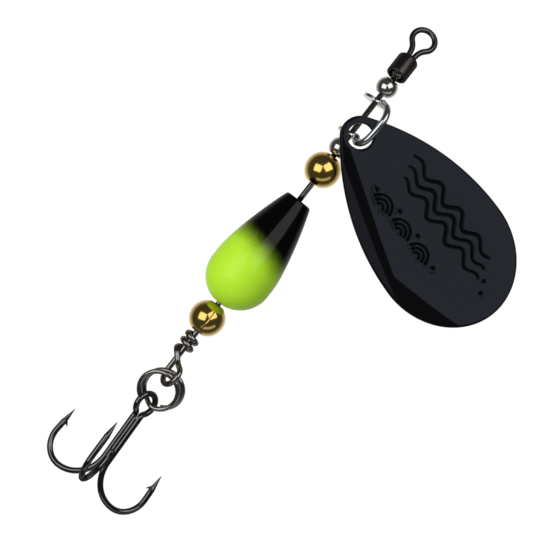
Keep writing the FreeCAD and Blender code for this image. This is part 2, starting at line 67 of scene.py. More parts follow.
camera_data = bpy.data.cameras.new("overhead_camera")
camera = bpy.data.objects.new("overhead_camera", camera_data)
scene.collection.objects.link(camera)
camera.location = (*VIEW_CENTRE, shaft_z + VIEW_DISTANCE)
camera.rotation_euler = (0, 0, -math.radians(SHAFT_LEAN))
camera_data.sensor_width = 36.0
camera_data.lens = camera_data.sensor_width * VIEW_DISTANCE / VIEW_WIDTH
camera_data.clip_start = 0.05
scene.camera = camera

view_right = Vector((math.cos(math.radians(SHAFT_LEAN)), -math.sin(math.radians(SHAFT_LEAN)), 0))
view_up = Vector((-view_right.y, view_right.x, 0))
LIGHT_DISTANCE = 0.8
CEILING_FARTHER = 1.5            # how many times as far off the ceiling is


def hang_soft_box(name, right, up, width, height, glow, colour):
    """A light of even brightness, seen from the lure at these angles from straight overhead."""
    toward = (Vector((0, 0, 1)) + view_right * math.tan(math.radians(right))
              + view_up * math.tan(math.radians(up))).normalized()
    data = bpy.data.lights.new(name, "AREA")
    data.shape = "RECTANGLE"
    data.size, data.size_y = width, height
    data.energy = glow * math.pi * width * height
    data.color = colour
    light = bpy.data.objects.new(name, data)
    scene.collection.objects.link(light)
    light.location = toward * LIGHT_DISTANCE
    light.rotation_euler = toward.to_track_quat("Z", "Y").to_euler()
    return light


soft_boxes = [hang_soft_box("left_soft_box", -31, 14, 0.62, 0.70, 1.6, (1.0, 0.99, 0.97)),
              hang_soft_box("right_soft_box", 35, 20, 0.62, 0.74, 1.6, (1.0, 1.0, 1.0)),
              hang_soft_box("far_strip", 10, -66, 1.3, 0.25, 0.6, (0.90, 0.94, 1.0))]
ceiling = hang_soft_box("ceiling_bounce", -38, 10, 2.2, 2.2, 1.25, (1.0, 1.0, 0.98))
ceiling.location *= CEILING_FARTHER
ceiling.visible_glossy = False

room = bpy.data.worlds.new("dark_room")
room.use_nodes = True
room.node_tree.nodes["Background"].inputs["Color"].default_value = (0.90, 0.93, 1.0, 1)
room.node_tree.nodes["Background"].inputs["Strength"].default_value = 0.065
scene.world = room

TABLE_HALF = 0.45
TABLE_DROP = 30 * MM
table_mesh = bpy.data.meshes.new("white_table")
table_mesh.from_pydata([(-TABLE_HALF, -TABLE_HALF, 0), (TABLE_HALF, -TABLE_HALF, 0),
                        (TABLE_HALF, TABLE_HALF, 0), (-TABLE_HALF, TABLE_HALF, 0)], [], [(0, 1, 2, 3)])
table = bpy.data.objects.new("white_table", table_mesh)
table.location.z = -TABLE_DROP
scene.collection.objects.link(table)


def add_node(tree, kind, **inputs):
    """A node of this kind, with some of its inputs set or linked by name."""
    node = tree.nodes.new(kind)
    for key, value in inputs.items():
        socket = node.inputs[key.replace("_", " ")]
        if isinstance(value, bpy.types.NodeSocket):
            tree.links.new(value, socket)
        else:
            socket.default_value = value
    return node


def new_material(name):
    """An empty material and its node tree's Principled shader."""
    material = bpy.data.materials.new(name)
    material.use_nodes = True
    return material, material.node_tree, material.node_tree.nodes["Principled BSDF"]


# the camera sees pure white, and the lure gets a glow that is weaker where the table is seen at a slant
table_paint, tree, shader = new_material("table_white")
tree.nodes.remove(shader)
clean_white = add_node(tree, "ShaderNodeEmission", Color=(1, 1, 1, 1), Strength=1.02)
edge = add_node(tree, "ShaderNodeLayerWeight", Blend=0.5)
dimmer = add_node(tree, "ShaderNodeMapRange", Value=edge.outputs["Facing"], From_Min=0.20, From_Max=0.80,
                  To_Min=0.85, To_Max=0.08)
dim_glow = add_node(tree, "ShaderNodeEmission", Color=(1, 0.985, 0.94, 1), Strength=dimmer.outputs["Result"])
path = tree.nodes.new("ShaderNodeLightPath")
mixer = tree.nodes.new("ShaderNodeMixShader")
tree.links.new(path.outputs["Is Camera Ray"], mixer.inputs["Fac"])
tree.links.new(dim_glow.outputs[0], mixer.inputs[1])
tree.links.new(clean_white.outputs[0], mixer.inputs[2])
tree.links.new(mixer.outputs[0], tree.nodes["Material Output"].inputs["Surface"])
table_mesh.materials.append(table_paint)

# ---------------------------------------------------------------- shaft wire
# One length of hard spring wire, black nickel plated: a straight shaft, a round loop at the hook end and
# two and a half close wraps that lock the loop. Everything else is threaded on it.


def new_plating_group():
    """A slight cloud in the gloss and the colour of plating, shared by all the metal."""
    group = bpy.data.node_groups.new("plating_wear", "ShaderNodeTree")
    for name in ("Roughness", "Spread", "Scale"):
        group.interface.new_socket(name, in_out="INPUT", socket_type="NodeSocketFloat")
    for name in ("Roughness", "Tint"):
        group.interface.new_socket(name, in_out="OUTPUT", socket_type="NodeSocketFloat")
    given = group.nodes.new("NodeGroupInput")
    result = group.nodes.new("NodeGroupOutput")
    place = group.nodes.new("ShaderNodeTexCoord")
    cloud = add_node(group, "ShaderNodeTexNoise", Vector=place.outputs["Object"],
                     Scale=given.outputs["Scale"], Detail=4.0, Roughness=0.6)
    clouded = group.nodes.new("ShaderNodeMath")
    clouded.operation = "MULTIPLY_ADD"
    group.links.new(cloud.outputs["Fac"], clouded.inputs[0])
    group.links.new(given.outputs["Spread"], clouded.inputs[1])
    group.links.new(given.outputs["Roughness"], clouded.inputs[2])
    group.links.new(clouded.outputs[0], result.inputs["Roughness"])
    tint = add_node(group, "ShaderNodeMapRange", Value=cloud.outputs["Fac"], From_Min=0.3, From_Max=0.7,
                    To_Min=0.88, To_Max=1.10)
    group.links.new(tint.outputs["Result"], result.inputs["Tint"])
    return group


plating_wear = new_plating_group()
CLOUD_SCALE = 900.0
MERGE_DISTANCE = 0.0005 * MM


def plated_metal(name, colour, roughness, spread, rim=1.0, coat=0.0):
    """A plated or polished metal with cloudy gloss. The rim is how bright it is at grazing angles."""
    material, tree, shader = new_material(name)
    wear = tree.nodes.new("ShaderNodeGroup")
    wear.node_tree = plating_wear
    for key, value in (("Roughness", roughness), ("Spread", spread), ("Scale", CLOUD_SCALE)):
        wear.inputs[key].default_value = value
    shade = tree.nodes.new("ShaderNodeMix")
    shade.data_type = "RGBA"
    shade.blend_type = "MULTIPLY"
    shade.inputs["Factor"].default_value = 1.0
    shade.inputs["A"].default_value = (*colour, 1)
    tree.links.new(wear.outputs["Tint"], shade.inputs["B"])
    tree.links.new(shade.outputs["Result"], shader.inputs["Base Color"])
    tree.links.new(wear.outputs["Roughness"], shader.inputs["Roughness"])
    shader.inputs["Metallic"].default_value = 1.0
    shader.inputs["Specular Tint"].default_value = (rim, rim, 0.94 * rim, 1)
    shader.inputs["Coat Weight"].default_value = coat
    shader.inputs["Coat Roughness"].default_value = 0.10
    shader.inputs["Coat IOR"].default_value = 2.0
    return material


def drawn_piece(node, name, sharp_angle, material, body):
    """A finely shaded piece on a frame node's own shape, which it stands for."""
    mesh = frame["nodes"][node].data.copy()
    mesh.name = name
    mesh.materials.clear()
    shape = bmesh.new()
    shape.from_mesh(mesh)
    bmesh.ops.remove_doubles(shape, verts=shape.verts, dist=MERGE_DISTANCE)
    for face in shape.faces:
        face.smooth = True
        face.material_index = 0
    shape.to_mesh(mesh)
    shape.free()
    mesh.materials.append(material)
    mesh.set_sharp_from_angle(angle=math.radians(sharp_angle))
    piece = bpy.data.objects.new(name, mesh)
    scene.collection.objects.link(piece)
    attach(piece, body)
    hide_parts(node)
    return piece


wire_nickel = plated_metal("black_nickel_wire", (0.28, 0.262, 0.25), 0.08, 0.08, rim=0.4)
drawn_piece("shaft_wire", "shaft_and_wraps", 40, wire_nickel, "shaft")

# ---------------------------------------------------------------- split ring
# A double coil of spring wire, black nickel plated, threaded on the shaft's loop and the hook's eye. The
# wire runs round the upper coil, steps down and runs round the lower one.
RING_MIDDLE = Vector((-21.826, 10.638, 5.171)) * MM
RING_LEAN = math.radians(22.0)   # its hook side lies lower by this angle
RING_COIL_R = 2.70 * MM
RING_WIRE_R = 0.35 * MM
RING_CORNER_R = 0.09 * MM        # rounding of the wire's cut ends
RING_COIL_PITCH = 0.72 * MM
RING_DRIFT = 0.25 * MM           # each coil stands this far to its own side
RING_DRIFT_ANGLE = math.radians(-52.0)
RING_START = 147.0               # where the upper coil begins, in degrees
RING_STEP = 58.0                 # degrees in which the wire steps down
RING_PIECES = 330
RING_SIDES = 24
SHARP_EDGE = 50.0                # degrees past which an edge is drawn sharp


def ring_path():
    """Points along the wire's middle, from the upper coil's end to the lower coil's end."""
    drift = Vector((math.cos(RING_DRIFT_ANGLE), math.sin(RING_DRIFT_ANGLE), 0)) * RING_DRIFT
    lean = Matrix.Rotation(-RING_LEAN, 3, "Y")
    one_coil = 360 - RING_STEP
    points = []
    for i in range(RING_PIECES + 1):
        turn = (2 * one_coil + RING_STEP) * i / RING_PIECES
        step = min(1.0, max(0.0, (turn - one_coil) / RING_STEP))
        lowered = step * step * (3 - 2 * step) * 2 - 1
        a = math.radians(RING_START - turn)
        place = Vector((RING_COIL_R * math.cos(a), RING_COIL_R * math.sin(a),
                        -lowered * RING_COIL_PITCH / 2))
        points.append(RING_MIDDLE + lean @ (place + drift * lowered))
    return points


def new_wire_tree():
    """Nodes that draw a round wire with bevelled cut ends along a line of points."""
    tree = bpy.data.node_groups.new("wire_along_path", "GeometryNodeTree")
    for name, kind, way in (("Geometry", "NodeSocketGeometry", "INPUT"),
                            ("Wire Radius", "NodeSocketFloat", "INPUT"),
                            ("Corner Radius", "NodeSocketFloat", "INPUT"),
                            ("Sides", "NodeSocketInt", "INPUT"),
                            ("Material", "NodeSocketMaterial", "INPUT"),
                            ("Geometry", "NodeSocketGeometry", "OUTPUT")):
        tree.interface.new_socket(name, in_out=way, socket_type=kind)
    given, result = tree.nodes.new("NodeGroupInput"), tree.nodes.new("NodeGroupOutput")
    curve = add_node(tree, "GeometryNodeMeshToCurve", Mesh=given.outputs["Geometry"])
    # the wire is thinner at its two end points, which stand a corner's radius beyond the next points
    ends = add_node(tree, "GeometryNodeCurveEndpointSelection", Start_Size=1, End_Size=1)
    thinner = add_node(tree, "ShaderNodeMath", Value=given.outputs["Wire Radius"])
    thinner.operation = "SUBTRACT"
    tree.links.new(given.outputs["Corner Radius"], thinner.inputs[1])
    chosen = tree.nodes.new("GeometryNodeSwitch")
    chosen.input_type = "FLOAT"
    tree.links.new(ends.outputs[0], chosen.inputs["Switch"])
    tree.links.new(given.outputs["Wire Radius"], chosen.inputs["False"])
    tree.links.new(thinner.outputs[0], chosen.inputs["True"])
    section = add_node(tree, "GeometryNodeCurvePrimitiveCircle", Resolution=given.outputs["Sides"],
                       Radius=1.0)
    wire = add_node(tree, "GeometryNodeCurveToMesh", Curve=curve.outputs[0], Scale=chosen.outputs[0],
                    Profile_Curve=section.outputs["Curve"], Fill_Caps=True)
    smooth = add_node(tree, "GeometryNodeSetShadeSmooth", Geometry=wire.outputs[0])
    whole = add_node(tree, "GeometryNodeRealizeInstances", Geometry=smooth.outputs[0])
    plated = add_node(tree, "GeometryNodeSetMaterial", Geometry=whole.outputs[0],
                      Material=given.outputs["Material"])
    tree.links.new(plated.outputs[0], result.inputs[0])
    return tree


def draw_wire(name, points, wire_r, corner_r, sides, material):
    """A plain mesh of the wire that the node tree makes along these points."""
    first, last = points[0], points[-1]
    inner_first = first + (points[1] - first).normalized() * corner_r
    inner_last = last + (points[-2] - last).normalized() * corner_r
    line = [first, inner_first] + points[1:-1] + [inner_last, last]
    path_mesh = bpy.data.meshes.new(name + "_path")
    path_mesh.from_pydata(line, [(i, i + 1) for i in range(len(line) - 1)], [])
    path_piece = bpy.data.objects.new(name + "_path", path_mesh)
    scene.collection.objects.link(path_piece)
    maker = path_piece.modifiers.new("wire", "NODES")
    maker.node_group = wire_along_path
    sizes = {"Wire Radius": wire_r, "Corner Radius": corner_r, "Sides": sides, "Material": material}
    for item in wire_along_path.interface.items_tree:
        if item.name in sizes:
            maker[item.identifier] = sizes[item.name]
    evaluated = path_piece.evaluated_get(bpy.context.evaluated_depsgraph_get())
    mesh = bpy.data.meshes.new_from_object(evaluated)
    mesh.name = name
    mesh.set_sharp_from_angle(angle=math.radians(SHARP_EDGE))
    bpy.data.objects.remove(path_piece)
    piece = bpy.data.objects.new(name, mesh)
    scene.collection.objects.link(piece)
    return piece


ring_nickel = plated_metal("black_nickel_ring", (0.36, 0.345, 0.32), 0.09, 0.08, rim=0.5)
wire_along_path = new_wire_tree()
double_coil = draw_wire("double_coil_ring", ring_path(), RING_WIRE_R, RING_CORNER_R, RING_SIDES,
                        ring_nickel)
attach(double_coil, "ring")
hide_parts("split_ring")

# ---------------------------------------------------------------- treble hook
# Two wires of tempered hook steel, chemically sharpened and black nickel plated: one makes two hooks and
# the eye, the other is the third hook, brazed in the groove between the two shanks.
hook_nickel = plated_metal("hook_black_nickel", (0.135, 0.13, 0.135), 0.05, 0.05, rim=0.25)
drawn_piece("double_hook_wire", "two_hooks_and_eye", 40, hook_nickel, "treble")
drawn_piece("third_hook_wire", "third_hook", 40, hook_nickel, "treble")

# the braze fills the groove between the two shanks, from the eye to where the arms part
BRAZE_TOP = Vector((-26.55, 10.980, 4.644)) * MM
BRAZE_END = Vector((-33.77, 10.703, 4.568)) * MM
BRAZE_ACROSS = Vector((-0.0384, 0.9993, 0.0))
BRAZE_HALF_WIDTH = 0.50 * MM
BRAZE_HALF_HEIGHT = 0.39 * MM
BRAZE_END_SHARE = 0.05           # of its length, in which each end tapers to about half its section
BRAZE_PIECES = 24
BRAZE_SIDES = 40
braze_along = (BRAZE_END - BRAZE_TOP).normalized()
braze_up = braze_along.cross(BRAZE_ACROSS).normalized()
shape = bmesh.new()
sections = []
for i in range(BRAZE_PIECES + 1):
    share = i / BRAZE_PIECES
    from_end = min(share, 1 - share) / BRAZE_END_SHARE
    full = math.sqrt(1 - max(0.0, 1 - from_end) ** 2)
    width = BRAZE_HALF_WIDTH * (0.55 + 0.45 * full)
    height = BRAZE_HALF_HEIGHT * (0.5 + 0.5 * full)
    section = []
    for j in range(BRAZE_SIDES):
        a = 2 * math.pi * j / BRAZE_SIDES
        section.append(shape.verts.new(BRAZE_TOP.lerp(BRAZE_END, share) + BRAZE_ACROSS * (width * math.cos(a))
                                       + braze_up * (height * math.sin(a))))
    sections.append(section)
for section, following in zip(sections, sections[1:]):
    for j in range(BRAZE_SIDES):
        k = (j + 1) % BRAZE_SIDES
        shape.faces.new((section[j], section[k], following[k], following[j]))
shape.faces.new(sections[0])
shape.faces.new(sections[-1])
bmesh.ops.recalc_face_normals(shape, faces=shape.faces)
for face in shape.faces:
    face.smooth = True
braze_mesh = bpy.data.meshes.new("shank_braze")
shape.to_mesh(braze_mesh)
shape.free()
braze_mesh.materials.append(hook_nickel)
braze_mesh.set_sharp_from_angle(angle=math.radians(SHARP_EDGE))
braze = bpy.data.objects.new("shank_braze", braze_mesh)
scene.collection.objects.link(braze)
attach(braze, "treble")

# ---------------------------------------------------------------- beads
# Round metal beads, threaded loosely on the shaft. The two large ones are lacquered brass, rolled from
# sheet with a fine closed seam; the two small ones are bright nickel plated.


def revolve_about_shaft(name, outline, steps, seam_angle=None, seam_width=0.0, seam_depth=0.0):
    """A closed outline of (x, radius, whether outside) points, turned about the shaft.

    The seam is a fine groove along the outside. Its width on either side is in radians."""
    shape = bmesh.new()
    angles = [2 * math.pi * i / steps for i in range(steps)]
    if seam_angle is not None:
        near = [seam_angle + seam_width * share for share in (-1.0, -0.6, -0.25, 0.0, 0.25, 0.6, 1.0)]
        gap = 2 * math.pi / steps
        angles = [a for a in angles if abs(math.remainder(a - seam_angle, 2 * math.pi)) > gap] + near
        angles = sorted(a % (2 * math.pi) for a in angles)
    rows = []
    for angle in angles:
        dip = 0.0
        if seam_angle is not None:
            away = abs(math.remainder(angle - seam_angle, 2 * math.pi)) / seam_width
            dip = seam_depth * max(0.0, 1 - away ** 2)
        row = []
        for x, radius, outer in outline:
            r = radius - dip if outer else radius
            row.append(shape.verts.new((x, shaft_y + r * math.cos(angle), shaft_z + r * math.sin(angle))))
        rows.append(row)
    count = len(outline)
    for i, row in enumerate(rows):
        following = rows[(i + 1) % len(rows)]
        for j in range(count):
            k = (j + 1) % count
            face = shape.faces.new((row[j], following[j], following[k], row[k]))
            face.smooth = True
    bmesh.ops.recalc_face_normals(shape, faces=shape.faces)
    mesh = bpy.data.meshes.new(name)
    shape.to_mesh(mesh)
    shape.free()
    mesh.set_sharp_from_angle(angle=math.radians(SHARP_EDGE))
    piece = bpy.data.objects.new(name, mesh)
    scene.collection.objects.link(piece)
    return piece


MOUTH_STEPS = 6
BALL_STEPS = 56
SMALL_BEAD_SIDES = 96
LARGE_BEAD_SIDES = 128


def bead_outline(middle, radius, hole, edge):
    """A ball's section with a rounded hole, from one mouth over the top to the other and back."""
    mouth = math.sqrt((radius - edge) ** 2 - (hole + edge) ** 2)
    lean = math.atan2(mouth, hole + edge)
    arc = []
    for i in range(MOUTH_STEPS + 1):
        turn = -math.pi / 2 + (math.pi - lean) * i / MOUTH_STEPS
        arc.append((mouth + edge * math.cos(turn), hole + edge + edge * math.sin(turn), i > MOUTH_STEPS - 2))
    points = [(middle + x, r, outer) for x, r, outer in arc]
    for i in range(1, BALL_STEPS):
        a = lean - 2 * lean * i / BALL_STEPS
        points.append((middle + radius * math.sin(a), radius * math.cos(a), True))
    return points + [(middle - x, r, outer) for x, r, outer in reversed(arc)]


SMALL_BEAD_HOLE_R = 0.72 * MM
LARGE_BEAD_HOLE_R = 0.85 * MM
BEAD_EDGE_R = 0.12 * MM
SEAM_HALF_TURN = 0.028           # half the seam's width, in radians about the shaft
SEAM_DEPTH = 0.035 * MM
SEAMS = {"upper_large_bead": 215.0, "lower_large_bead": 97.0}   # where each seam runs, about the shaft
bright_nickel = plated_metal("bright_nickel", (0.60, 0.59, 0.56), 0.11, 0.05)
gold_lacquer = plated_metal("gold_lacquer", (0.70, 0.45, 0.03), 0.13, 0.05, coat=1.0)
for node in ("upper_small_bead", "lower_small_bead", "upper_large_bead", "lower_large_bead"):
    low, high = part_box(node)
    radius = (high[1] - low[1]) / 2
    middle = (low[0] + high[0]) / 2
    if node in SEAMS:
        outline = bead_outline(middle, radius, LARGE_BEAD_HOLE_R, BEAD_EDGE_R)
        ball = revolve_about_shaft(node + "_ball", outline, LARGE_BEAD_SIDES, math.radians(SEAMS[node]),
                                   SEAM_HALF_TURN, SEAM_DEPTH)
        ball.data.materials.append(gold_lacquer)
    else:
        outline = bead_outline(middle, radius, SMALL_BEAD_HOLE_R, BEAD_EDGE_R)
        ball = revolve_about_shaft(node + "_ball", outline, SMALL_BEAD_SIDES)
        ball.data.materials.append(bright_nickel)
    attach(ball, node)
    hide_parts(node)

# ---------------------------------------------------------------- weight
# A turned metal teardrop with a hole for the shaft, sprayed bright green, faded to black at the nose with
# an airbrush, and dipped in clear lacquer.
low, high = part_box("weight_body")
WEIGHT_NOSE_R = 1.90 * MM
WEIGHT_HOLE_R = 0.85 * MM
WEIGHT_EDGE_R = 0.42 * MM        # rounding of the nose's rim
WEIGHT_NOSE_ANGLE = math.radians(19.8)
WEIGHT_SHOULDER_ANGLE = math.radians(9.7)
WEIGHT_SHOULDER_R = 14.8 * MM
WEIGHT_FLAT = 0.73 * MM          # length of the straight belly
TAIL_STEPS = 32
SHOULDER_STEPS = 8
FLANK_STEPS = 28
RIM_STEPS = 8
WEIGHT_SIDES = 144
weight_r = (high[1] - low[1]) / 2
nose_x, tail_x = high[0], low[0]
tail_middle = tail_x + math.sqrt(weight_r ** 2 - WEIGHT_HOLE_R ** 2)
belly_end = tail_middle + WEIGHT_FLAT
shoulder = (belly_end + WEIGHT_SHOULDER_R * math.sin(WEIGHT_SHOULDER_ANGLE),
            weight_r - WEIGHT_SHOULDER_R * (1 - math.cos(WEIGHT_SHOULDER_ANGLE)))


def weight_outline():
    """The teardrop's section: bore, round tail, belly, shoulder, flank and the nose's rounded rim."""
    points = [(nose_x - 0.1 * MM, WEIGHT_HOLE_R, False), (tail_x + 0.15 * MM, WEIGHT_HOLE_R, False),
              (tail_x + 0.04 * MM, WEIGHT_HOLE_R + 0.03 * MM, False)]
    start = math.acos(WEIGHT_HOLE_R * 1.18 / weight_r)
    for i in range(TAIL_STEPS + 1):
        a = start * (1 - i / TAIL_STEPS)
        points.append((tail_middle - weight_r * math.sin(a), weight_r * math.cos(a), True))
    for i in range(SHOULDER_STEPS + 1):
        a = WEIGHT_SHOULDER_ANGLE * i / SHOULDER_STEPS
        points.append((belly_end + WEIGHT_SHOULDER_R * math.sin(a),
                       weight_r - WEIGHT_SHOULDER_R * (1 - math.cos(a)), True))
    nose = Vector((nose_x, WEIGHT_NOSE_R))
    chord = nose - Vector(shoulder)
    chord_angle = math.atan2(-chord.y, chord.x)
    turn = WEIGHT_NOSE_ANGLE - chord_angle
    radius = chord.length / (2 * math.sin(turn))
    start_angle = 2 * chord_angle - WEIGHT_NOSE_ANGLE
    for i in range(1, FLANK_STEPS):
        a = start_angle + (WEIGHT_NOSE_ANGLE - start_angle) * i / FLANK_STEPS
        points.append((shoulder[0] + radius * (math.sin(a) - math.sin(start_angle)),
                       shoulder[1] - radius * (math.cos(start_angle) - math.cos(a)), True))
    reach = math.tan((math.pi / 2 - WEIGHT_NOSE_ANGLE) / 2) * WEIGHT_EDGE_R
    centre = (nose_x - WEIGHT_EDGE_R, WEIGHT_NOSE_R - reach)
    for i in range(RIM_STEPS + 1):
        a = (math.pi / 2 - WEIGHT_NOSE_ANGLE) * (1 - i / RIM_STEPS)
        points.append((centre[0] + WEIGHT_EDGE_R * math.cos(a), centre[1] + WEIGHT_EDGE_R * math.sin(a),
                       True))
    points.append((nose_x, WEIGHT_HOLE_R + 0.1 * MM, True))
    return points


teardrop = revolve_about_shaft("teardrop_weight", weight_outline(), WEIGHT_SIDES)

# the fade's place is a mix of how far along and how far aside, blurred by fine mist and slow drift
airbrush, tree, shader = new_material("airbrushed_weight")
place = tree.nodes.new("ShaderNodeTexCoord")
split = add_node(tree, "ShaderNodeSeparateXYZ", Vector=place.outputs["Object"])
mist = add_node(tree, "ShaderNodeTexNoise", Vector=place.outputs["Object"], Scale=5200.0, Detail=3.0)
drift = add_node(tree, "ShaderNodeTexNoise", Vector=place.outputs["Object"], Scale=260.0, Detail=2.0)
FADE_SLANT = 0.20                # the black runs further down on the blade's side
FADE_MIDDLE = nose_x - 8.6 * MM - FADE_SLANT * shaft_y
FADE_HALF = 2.4 * MM
MIST_REACH = 0.9 * MM
DRIFT_REACH = 1.2 * MM
fade_shift = (MIST_REACH + DRIFT_REACH) / 2
aslant = add_node(tree, "ShaderNodeMath")
aslant.operation = "MULTIPLY_ADD"
tree.links.new(split.outputs["Y"], aslant.inputs[0])
aslant.inputs[1].default_value = -FADE_SLANT
tree.links.new(split.outputs["X"], aslant.inputs[2])
ragged = add_node(tree, "ShaderNodeMath")
ragged.operation = "MULTIPLY_ADD"
tree.links.new(mist.outputs["Fac"], ragged.inputs[0])
ragged.inputs[1].default_value = MIST_REACH
tree.links.new(aslant.outputs[0], ragged.inputs[2])
wavy = add_node(tree, "ShaderNodeMath")
wavy.operation = "MULTIPLY_ADD"
tree.links.new(drift.outputs["Fac"], wavy.inputs[0])
wavy.inputs[1].default_value = DRIFT_REACH
tree.links.new(ragged.outputs[0], wavy.inputs[2])
fade = add_node(tree, "ShaderNodeMapRange", Value=wavy.outputs[0],
                From_Min=FADE_MIDDLE - FADE_HALF + fade_shift, From_Max=FADE_MIDDLE + FADE_HALF + fade_shift)
fade.interpolation_type = "SMOOTHERSTEP"
coat_colour = tree.nodes.new("ShaderNodeMix")
coat_colour.data_type = "RGBA"
coat_colour.inputs["A"].default_value = (0.44, 0.77, 0.032, 1)
coat_colour.inputs["B"].default_value = (0.001, 0.001, 0.001, 1)
tree.links.new(fade.outputs["Result"], coat_colour.inputs["Factor"])
tree.links.new(coat_colour.outputs["Result"], shader.inputs["Base Color"])
shader.inputs["Roughness"].default_value = 0.6
shader.inputs["Specular IOR Level"].default_value = 0.0
shader.inputs["Coat Weight"].default_value = 0.42
shader.inputs["Coat Roughness"].default_value = 0.13
teardrop.data.materials.append(airbrush)
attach(teardrop, "weight")
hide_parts("weight_body")

# ---------------------------------------------------------------- clevis
# A stamped strip of spring metal, bright nickel plated: two flat ears with holes turn on the shaft, and
# the rounded bow between them carries the blade.
clevis_nickel = plated_metal("clevis_nickel", (0.58, 0.59, 0.61), 0.10, 0.06)
drawn_piece("clevis", "clevis_bow_and_ears", 38, clevis_nickel, "clevis")

# ---------------------------------------------------------------- swivel
# A turned barrel with the shaft's head held behind its lip, and a wire eye whose legs turn in its other
# end. Both are satin black nickel.
barrel_nickel = plated_metal("barrel_black_nickel", (0.095, 0.087, 0.083), 0.27, 0.10, rim=0.35)
eye_nickel = plated_metal("eye_black_nickel", (0.115, 0.105, 0.099), 0.20, 0.10, rim=0.35)
drawn_piece("swivel_barrel", "turned_barrel", 38, barrel_nickel, "swivel")
drawn_piece("swivel_eye", "line_eye", 40, eye_nickel, "line_loop")

# ---------------------------------------------------------------- blade
# A drop-shaped leaf of thin sheet, domed in a press and stamped with a pattern of ripples, then dipped in
# gloss black lacquer. It hangs by its hole on the clevis.
# Its sizes are in millimetres, along from the hole's middle and across.
BLADE_LENGTH = 30.9
BLADE_HALF_WIDTH = 9.45
BLADE_WIDEST = 20.0              # how far along the leaf is widest
BLADE_HEAD_R = 2.75
BLADE_HOLE_R = 1.70
BLADE_THICKNESS = 0.75
BLADE_CROWN = 14.0               # how far along the dome is highest
BLADE_LONG_R = 90.0
BLADE_CROSS_R = 22.0
BLADE_YAW = math.radians(-105.6)
BLADE_RIM_R = 0.34               # rounding that the lacquer gives the edge
BLADE_GRID = 0.135               # spacing of the net of points that carries the stamped pattern
HEAD_STEPS = 15
SIDE_STEPS = 60
TIP_STEPS = 70
HOLE_STEPS = 72

swing = next(j for j in frame["record"]["behaviour"]["joints"] if j["name"] == "blade_swing")
blade_normal = Vector(swing["axis"]).normalized()
blade_along = Vector((math.cos(BLADE_YAW), math.sin(BLADE_YAW), 0))
blade_along = (blade_along - blade_normal * blade_along.dot(blade_normal)).normalized()
blade_across = blade_normal.cross(blade_along)
blade_hole = Vector(swing["pos_m"])


def dome_height(along, across):
    """How far the sheet's middle stands over its highest place, in millimetres."""
    radius = BLADE_CROSS_R - BLADE_LONG_R + math.sqrt(BLADE_LONG_R ** 2 - (along - BLADE_CROWN) ** 2)
    return math.sqrt(radius ** 2 - across ** 2) - BLADE_CROSS_R


def leaf_edge():
    """Points round the leaf's edge: head arc, flank arc and half an oval, on both sides."""
    half_turn = math.atan((BLADE_HALF_WIDTH - BLADE_HEAD_R) / BLADE_WIDEST)
    leave = 2 * half_turn
    one_side = []
    for i in range(HEAD_STEPS):
        a = math.pi - (math.pi / 2 - leave) * i / HEAD_STEPS
        one_side.append((BLADE_HEAD_R * math.cos(a), BLADE_HEAD_R * math.sin(a)))
    start = (-BLADE_HEAD_R * math.sin(leave), BLADE_HEAD_R * math.cos(leave))
    flank_r = (BLADE_WIDEST - start[0]) / math.sin(leave)
    for i in range(SIDE_STEPS):
        a = leave * (1 - i / SIDE_STEPS)
        one_side.append((BLADE_WIDEST - flank_r * math.sin(a),
                         BLADE_HALF_WIDTH - flank_r * (1 - math.cos(a))))
    for i in range(TIP_STEPS):
        a = math.pi / 2 * i / TIP_STEPS
        one_side.append((BLADE_WIDEST + (BLADE_LENGTH - BLADE_WIDEST) * math.sin(a),
                         BLADE_HALF_WIDTH * math.cos(a)))
    mirrored = [(x, -y) for x, y in reversed(one_side[1:])]
    return one_side + [(BLADE_LENGTH, 0.0)] + mirrored


def inset(points, distance):
    """A closed outline moved inwards by this much."""
    moved = []
    count = len(points)
    for i, (x, y) in enumerate(points):
        before, after = points[i - 1], points[(i + 1) % count]
        dx, dy = after[0] - before[0], after[1] - before[1]
        length = math.hypot(dx, dy)
        moved.append((x + dy / length * distance, y - dx / length * distance))
    return moved


STROKE_STEP = 0.04
GROOVE_DEPTH = 0.15
LIP_SHARE = 0.35                 # of the groove's depth, how high the metal rises beside it
PATTERN_REACH = 2.2              # half widths from a stroke's middle to where the sheet is flat again
PATTERN_CELL = 0.6


def ripple_lines():
    """The stamped pattern: long waves side by side, half rings and dots, as (x, y, half width) points."""
    strokes = []

    def wave(x0, x1, y, height, waves, width, phase):
        points = []
        steps = int((x1 - x0) / STROKE_STEP)
        for i in range(steps + 1):
            share = i / steps
            swell = max(0.0, math.sin(math.pi * share)) ** 0.4
            turn = 2 * math.pi * waves * share + phase
            points.append((x0 + (x1 - x0) * share, y + height * swell * math.sin(turn),
                           width * (0.55 + 0.45 * swell)))
        strokes.append(points)

    def half_ring(x, y, r, start, end, width):
        steps = int(r * math.radians(end - start) / STROKE_STEP)
        points = []
        for i in range(steps + 1):
            a = math.radians(start + (end - start) * i / steps)
            points.append((x + r * math.cos(a), y + r * math.sin(a), width))
        strokes.append(points)

    for row in range(3):
        wave(6.4 + 0.8 * row, 24.2 + 0.6 * row, 4.3 - 1.45 * row, 0.75, 4.0, 0.30, 0.9 * row)
    for x in (9.2, 13.4, 17.6):
        for r in (0.55, 1.15, 1.75):
            half_ring(x, -3.6, r, 15, 165, 0.21)
    for x, y in ((7.0, -2.4), (11.3, -1.7), (15.5, -1.7), (20.4, -2.6), (26.2, 1.9), (27.3, 0.6)):
        strokes.append([(x, y, 0.36)])
    return strokes


